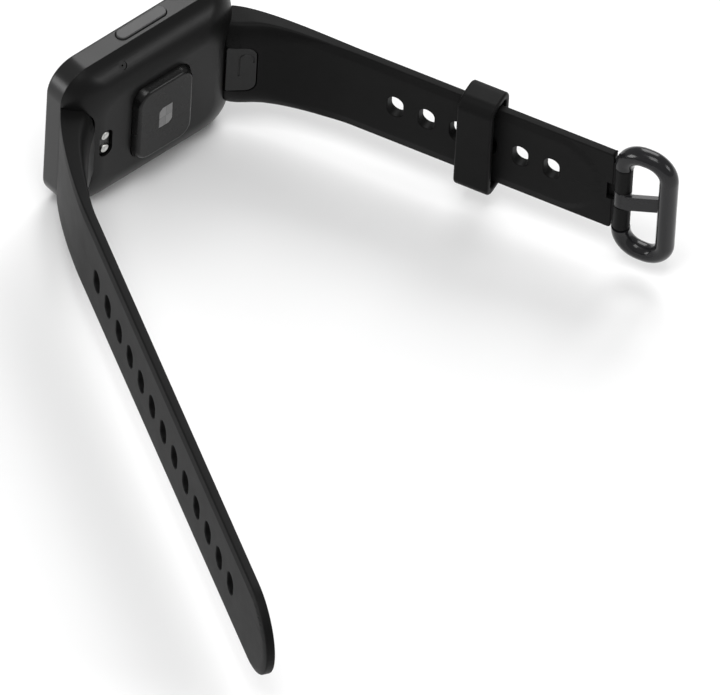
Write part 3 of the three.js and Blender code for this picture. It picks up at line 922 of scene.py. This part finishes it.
# %% [markdown]
# ## Buckle ring
# One round bar is bent into a loop whose two ends hold the pin. That is how it is modelled: a disc is
# extruded along the straight stretches and spun round each bend.

# %% Buckle ring
RING_BAR, RING_REACH, RING_HALF, RING_BEND = 1.85, 9.3, 12.9, 4.2
RING_END = KNUCKLE_HALF + 0.25


def ring_spot(s, z):
    """A point of the ring's middle plane, counted from the pin."""
    return flat(PIN_AT + s, PIN_N, z)


bpy.ops.mesh.primitive_circle_add(vertices=28, radius=RING_BAR * MM, fill_type="NGON",
                                  location=ring_spot(0, RING_END))
ring = settle("buckle_ring_bar")
straight_side = RING_REACH - 2 * RING_BEND
straight_far = 2 * (RING_HALF - RING_BEND)
moves = [("go", (0, 0, RING_HALF - RING_BEND - RING_END)), ("turn", (RING_BEND, RING_HALF - RING_BEND)),
         ("go", (straight_side, 0, 0)), ("turn", (RING_REACH - RING_BEND, RING_HALF - RING_BEND)),
         ("go", (0, 0, -straight_far)), ("turn", (RING_REACH - RING_BEND, RING_BEND - RING_HALF)),
         ("go", (-straight_side, 0, 0)), ("turn", (RING_BEND, RING_BEND - RING_HALF)),
         ("go", (0, 0, RING_HALF - RING_BEND - RING_END))]
with editing(ring):
    bpy.ops.mesh.select_all(action="SELECT")
    for kind, value in moves:
        if kind == "go":
            extrude(value)
        else:
            bpy.ops.mesh.spin(steps=14, angle=-math.pi / 2, center=ring_spot(*value), axis=(0, 1, 0))
    join_ends()
print("ring box", [round(v / MM, 1) for v in ring.dimensions])

# %% [markdown]
# The tongue's point rests in a shallow notch in the far bar, and the pin runs through both ends of the
# loop. Both are cut after the bending, because a disc with a bore would not close round a bend.

# %% Ring notch and pin bores
PRONG_N = -0.6
combine(ring, block("notch", flat(PIN_AT + RING_REACH - 2.2, PIN_N + PRONG_N - 3, -2.1),
                    flat(PIN_AT + RING_REACH + 2.2, PIN_N + PRONG_N + 0.1, 2.1)))
combine(ring, rod("bore", PIN_RADIUS + 0.1, *on_pin(KNUCKLE_HALF + 1.8), 24))
clean(place(ring, flat_to_strap(1)), 45)
mount(ring, "ring", "ring_metal", "buckle_ring")

# %% [markdown]
# ## Tongue and pin
# The tongue is a flat bar that curls round the pin. A cube gives the bar: its end is extruded three times,
# once for each change of slope. It is joined to a round hub, and the edges are softened.

# %% Tongue
PRONG_HALF, HUB_RADIUS, HUB_HALF = 1.8, 1.72, 1.9
tongue = block("tongue", flat(PIN_AT + 0.3, PIN_N + 0.35, -PRONG_HALF),
               flat(PIN_AT + 1.6, PIN_N + 1.6, PRONG_HALF))
with editing(tongue):
    pick(tongue, "FACE", faces((1, 0, 0)))
    for run, rise in ((0.9, -0.35), (4.4, PRONG_N - 1.25), (2.3, 0), (0.4, 0)):
        extrude((run, rise, 0))
    bpy.ops.transform.resize(value=(1, 0.6, 0.8),
                             center_override=flat(PIN_AT + 9.9, PIN_N + PRONG_N - 0.6, 0))
hub = rod("hub", HUB_RADIUS, *on_pin(HUB_HALF), 40)
combine(hub, tongue, "UNION")
tongue = hub
tongue.name = tongue.data.name = "tongue"
soften_rims(tongue, 0.16, 3, 35)
combine(tongue, rod("bore", PIN_RADIUS + 0.08, *on_pin(3), 24))
clean(place(tongue, flat_to_strap(1)), 50)
mount(tongue, "tongue", "ring_metal", "buckle_tongue")

# %% [markdown]
# The steel pin carries the ring and the tongue. A cylinder with softened ends is all it needs.

# %% Buckle pin
pin = rod("pin", PIN_RADIUS, *on_pin(KNUCKLE_HALF + 1.5), 28)
for way in (1, -1):
    round_rim(pin, (0, 0, way), 0.15, 2)
clean(place(pin, flat_to_strap(1)), 50)
mount(pin, "buckle_band", "steel", "buckle_pin")

# %% [markdown]
# ## Writing shaders as sums
# Most of a finish is arithmetic on patterns. A small class wraps a node's output, so that a pattern can be
# added, scaled or inverted in plain Python, and each operator places its Math node. One method adds every
# other kind of node.


# %% Shader helpers
class Signal:
    """A node's output that can be used in sums."""

    def __init__(self, finish, socket):
        self.finish, self.socket = finish, socket

    def math(self, operation, a, b):
        return self.finish.node("ShaderNodeMath", {"operation": operation}, {0: a, 1: b})

    def __add__(self, other):
        return self.math("ADD", self, other)

    def __sub__(self, other):
        return self.math("SUBTRACT", self, other)

    def __rsub__(self, other):
        return self.math("SUBTRACT", other, self)

    def __mul__(self, other):
        return self.math("MULTIPLY", self, other)

    def __abs__(self):
        return self.finish.node("ShaderNodeMath", {"operation": "ABSOLUTE"}, {0: self})

    def over(self, limit):
        return self.math("GREATER_THAN", self, limit)

    def under(self, limit):
        return self.math("LESS_THAN", self, limit)

    __radd__, __rmul__ = __add__, __mul__


class Finish:
    """A material being built round one Principled shader."""

    def __init__(self, name, **constants):
        self.material = bpy.data.materials.new(name)
        self.material.use_nodes = True
        self.tree = self.material.node_tree
        self.shader = self.tree.nodes["Principled BSDF"]
        for key, value in constants.items():
            self.shader.inputs[key.replace("_", " ")].default_value = value
        self.place = self.node("ShaderNodeTexCoord", {}, {}, "Object")

    def node(self, kind, settings, inputs, output=0):
        made = self.tree.nodes.new(kind)
        for key, value in settings.items():
            setattr(made, key, value)
        for key, value in inputs.items():
            if isinstance(value, Signal):
                self.tree.links.new(value.socket, made.inputs[key])
            else:
                made.inputs[key].default_value = value
        return Signal(self, made.outputs[output])

    def feed(self, **links):
        for key, signal in links.items():
            self.tree.links.new(signal.socket, self.shader.inputs[key.replace("_", " ")])

    def noise(self, size, detail=3.0, rough=0.5):
        """Soft random marks of about a size in millimetres, from 0 to 1."""
        inputs = {"Vector": self.place, "Scale": 1 / (size * MM), "Detail": detail, "Roughness": rough}
        return self.node("ShaderNodeTexNoise", {}, inputs, "Fac")

    def blend(self, share, dark, light):
        return self.node("ShaderNodeMix", {"data_type": "RGBA"}, {0: share, 6: (*dark, 1), 7: (*light, 1)}, 2)

    def relief(self, height, depth, below=None):
        inputs = {"Height": height, "Strength": 1.0, "Distance": depth * MM}
        if below:
            inputs["Normal"] = below
        return self.node("ShaderNodeBump", {}, inputs, "Normal")


def shade(grey, tint=(1, 1, 1)):
    return tuple(grey * t for t in tint)


# %% [markdown]
# ## Finishes
# The moulded plastics and the soft strap share one recipe: a fine grain in the surface, a slow change in
# tone, and a roughness that varies a little where hands have polished it. Each gets its own tone, grain
# size and roughness.


# %% Moulded and soft finishes
def moulded(name, tone, roughness, grain, relief, spread=0.12, **constants):
    made = Finish(name, **constants)
    cloudy, fine = made.noise(9.0), made.noise(grain, 2.0)
    dark, light = shade(tone * (1 - spread)), shade(tone * (1 + spread))
    made.feed(Base_Color=made.blend(cloudy * 0.7 + fine * 0.3, dark, light),
              Roughness=made.noise(4.0) * 0.08 + (roughness - 0.04),
              Normal=made.relief(fine, relief))
    return made.material


finishes = {
    "case_band": moulded("satin band", 0.011, 0.29, 0.09, 0.001, Specular_IOR_Level=0.26),
    "case_back": moulded("matt back", 0.004, 0.33, 0.09, 0.001, Specular_IOR_Level=0.17),
    "sensor_cover": moulded("smooth cover", 0.0055, 0.27, 0.2, 0.0003, Specular_IOR_Level=0.22),
    "strap": moulded("soft strap", 0.0045, 0.5, 0.1, 0.0012, Specular_IOR_Level=0.08),
    "release_tab": moulded("hard tab", 0.012, 0.42, 0.1, 0.001, Specular_IOR_Level=0.24),
    "insulator": moulded("black insert", 0.006, 0.35, 0.1, 0.0006),
    "foam": moulded("black foam", 0.01, 0.9, 0.2, 0.01),
    "chip": moulded("chip resin", 0.015, 0.3, 0.1, 0.0005),
    "led": moulded("chip lens", 0.6, 0.2, 0.1, 0.0005),
    "button_metal": moulded("satin button", 0.026, 0.4, 0.08, 0.0012, Metallic=0.08),
}


# %% [markdown]
# Metals: the ring is black and glossy with faint waviness, and the contacts, pin, springs and foil are bare
# metal with fine marks from turning or rolling.


# %% Metals
def metal(name, colour, roughness, marks, relief, **constants):
    made = Finish(name, **{"Metallic": 1.0, **constants})
    stretched = made.node("ShaderNodeMapping", {}, {"Vector": made.place, "Scale": (1, 1, 6)})
    inputs = {"Vector": stretched, "Scale": 1 / (marks * MM), "Detail": 3.0}
    lines = made.node("ShaderNodeTexNoise", {}, inputs, "Fac")
    dark = tuple(c * 0.85 for c in colour)
    made.feed(Base_Color=made.blend(lines, dark, colour), Roughness=lines * 0.12 + (roughness - 0.06),
              Normal=made.relief(lines, relief))
    return made.material


finishes["steel"] = metal("bright steel", (0.6, 0.6, 0.59), 0.3, 0.3, 0.0006)
finishes["contact"] = metal("plated pad", (0.62, 0.62, 0.6), 0.35, 0.2, 0.0006)
finishes["battery_foil"] = metal("pouch foil", (0.6, 0.62, 0.64), 0.4, 1.5, 0.004)
finishes["copper"] = metal("copper strip", (0.72, 0.4, 0.22), 0.35, 0.4, 0.0006)
finishes["ring_metal"] = metal("gloss black metal", (0.012, 0.012, 0.013), 0.2, 2.0, 0.0006,
                               Metallic=0.0, Specular_IOR_Level=0.18, Coat_Weight=0.2, Coat_Roughness=0.08)


# %% [markdown]
# The glass has a black border, and inside it the display shows as a very slightly lighter field. The
# sensor window shows four fields, two brighter than the others, with thin dark lines between them. Both
# patterns are made from object coordinates, because the pieces lie still in their own mesh.


# %% Glass and window
def axis_of(made, letter):
    return made.node("ShaderNodeSeparateXYZ", {}, {0: made.place}, letter)


DISPLAY_BORDER, WINDOW_SEAM = 3.6, 0.07
glass = Finish("cover glass", Roughness=0.05, Coat_Weight=0.4, Coat_Roughness=0.03)
inside_x = abs(axis_of(glass, "X")).under((HALF_LENGTH - DISPLAY_BORDER) * MM)
inside_z = abs(axis_of(glass, "Z") - HALF_WIDTH * MM).under((HALF_WIDTH - DISPLAY_BORDER) * MM)
field = inside_x * inside_z
glass.feed(Base_Color=glass.blend(field, (0.003, 0.003, 0.0035), (0.0075, 0.008, 0.0095)))
finishes["front_glass"] = glass.material
finishes["display"] = glass.material

lens = Finish("sensor window", Roughness=0.22, Coat_Weight=0.5, Coat_Roughness=0.1)
left = axis_of(lens, "X").under(0.0)
above = axis_of(lens, "Z").over(HALF_WIDTH * MM)
same = left * above + (1 - left) * (1 - above)
seam_x = abs(axis_of(lens, "X")).under(WINDOW_SEAM * MM)
seam_z = abs(axis_of(lens, "Z") - HALF_WIDTH * MM).under(WINDOW_SEAM * MM)
seams = lens.node("ShaderNodeMath", {"operation": "MAXIMUM"}, {0: seam_x, 1: seam_z})
fields = lens.blend(same * 0.6 + lens.noise(0.8) * 0.4, shade(0.1), shade(0.15))
inputs = {0: seams * 0.4, 6: fields, 7: (*shade(0.03), 1)}
lined = lens.node("ShaderNodeMix", {"data_type": "RGBA"}, inputs, 2)
lens.feed(Base_Color=lined, Normal=lens.relief(lens.noise(0.4), 0.002))
finishes["sensor_window"] = lens.material

board = Finish("circuit board", Roughness=0.35, Coat_Weight=0.3, Coat_Roughness=0.2)
inputs = {"Vector": board.place, "Scale": 420.0, "Mortar Size": 0.03}
tracks = board.node("ShaderNodeTexBrick", {}, inputs, "Fac")
board.feed(Base_Color=board.blend(tracks, (0.005, 0.045, 0.022), (0.02, 0.1, 0.05)),
           Normal=board.relief(tracks, 0.01))
finishes["board"] = board.material

# %% [markdown]
# Each piece has said which slot it belongs to, and the record says it for the solids that are kept as they
# are. One loop gives all of them their finish, so that none can be missed.

# %% Finishes on every piece
slot_of_node = {part["node"]: part["material_slot"] for part in frame["record"]["subparts"]}
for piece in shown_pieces():
    slot = piece.get("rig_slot") or slot_of_node[piece["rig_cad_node"]]
    piece.data.materials.clear()
    piece.data.materials.append(finishes[slot])

# %% [markdown]
# ## Floor, light and camera
# The floor is a large pale sheet, rough like studio paper. It could be curved up into a backdrop, but the
# camera looks down and never sees its end.

# %% Floor
bpy.ops.mesh.primitive_plane_add(size=8, location=(0, 0, cad_low.z))
floor = settle("floor")
paper = Finish("pale paper", Roughness=0.8, Specular_IOR_Level=0.2)
paper.feed(Base_Color=paper.blend(paper.noise(60), (0.86, 0.86, 0.86), (0.9, 0.9, 0.9)))
floor.data.materials.append(paper.material)

# %% [markdown]
# Dark glossy things are drawn by what they mirror, so the light comes from four large soft panels with dark
# gaps between them: behind, at the left, in front at the right, and overhead. A faint even world light
# keeps the gaps from going black.

# %% Light
centre = (cad_low + cad_high) / 2


def panel(name, direction, distance, wide, tall, strength):
    """A soft panel of light that looks at the tracker."""
    way = Vector(direction).normalized()
    light = bpy.data.lights.new(name, "AREA")
    light.shape, light.size, light.size_y, light.energy = "RECTANGLE", wide, tall, strength
    lamp = bpy.data.objects.new(name, light)
    bpy.context.collection.objects.link(lamp)
    lamp.location = centre + way * distance
    lamp.rotation_euler = way.to_track_quat("Z", "Y").to_euler()


panel("panel_behind", (0.65, 0.45, 0.62), 1.2, 0.7, 0.7, 8.5)
panel("panel_left", (-0.88, 0.42, 0.22), 1.2, 0.5, 0.45, 6)
panel("panel_front_right", (0.5, -0.8, 0.52), 1.3, 0.5, 0.4, 3.5)
panel("panel_top", (-0.25, -0.2, 1.0), 1.4, 0.7, 0.7, 9)
world = bpy.data.worlds.new("studio")
world.use_nodes = True
world.node_tree.nodes["Background"].inputs["Color"].default_value = (1, 1, 1, 1)
world.node_tree.nodes["Background"].inputs["Strength"].default_value = 0.42
bpy.context.scene.world = world
bpy.context.scene.view_settings.view_transform = "Standard"

# %% [markdown]
# The camera is far away with a very long lens, which draws parallel edges almost parallel. It looks down
# from the upper left of the case's back and is rolled a few degrees.

# %% Camera
AZIMUTH, ELEVATION, ROLL_ANGLE = math.radians(-43.6), math.radians(47.85), math.radians(3.43)
LENS, VIEW_WIDE = 1500.0, 136.36
AIM_RIGHT, AIM_DOWN = 44.05, 50.4
back_way = Vector((math.sin(AZIMUTH) * math.cos(ELEVATION), -math.cos(AZIMUTH) * math.cos(ELEVATION),
                   math.sin(ELEVATION)))
level = Vector((math.cos(AZIMUTH), math.sin(AZIMUTH), 0))
rise = back_way.cross(level)
right = level * math.cos(ROLL_ANGLE) + rise * math.sin(ROLL_ANGLE)
upright = rise * math.cos(ROLL_ANGLE) - level * math.sin(ROLL_ANGLE)
camera_data = bpy.data.cameras.new("camera")
camera_data.lens, camera_data.sensor_width, camera_data.clip_end = LENS, 36.0, 50.0
distance = VIEW_WIDE * MM * LENS / camera_data.sensor_width
target = spot(0, 0, 0) + (right * AIM_RIGHT - upright * AIM_DOWN) * MM
camera = bpy.data.objects.new("camera", camera_data)
bpy.context.collection.objects.link(camera)
camera.matrix_world = (Matrix.Translation(target + back_way * distance)
                       @ Matrix((right, upright, back_way)).transposed().to_4x4())
bpy.context.scene.camera = camera
print("camera at", tuple(round(v, 2) for v in camera.location))
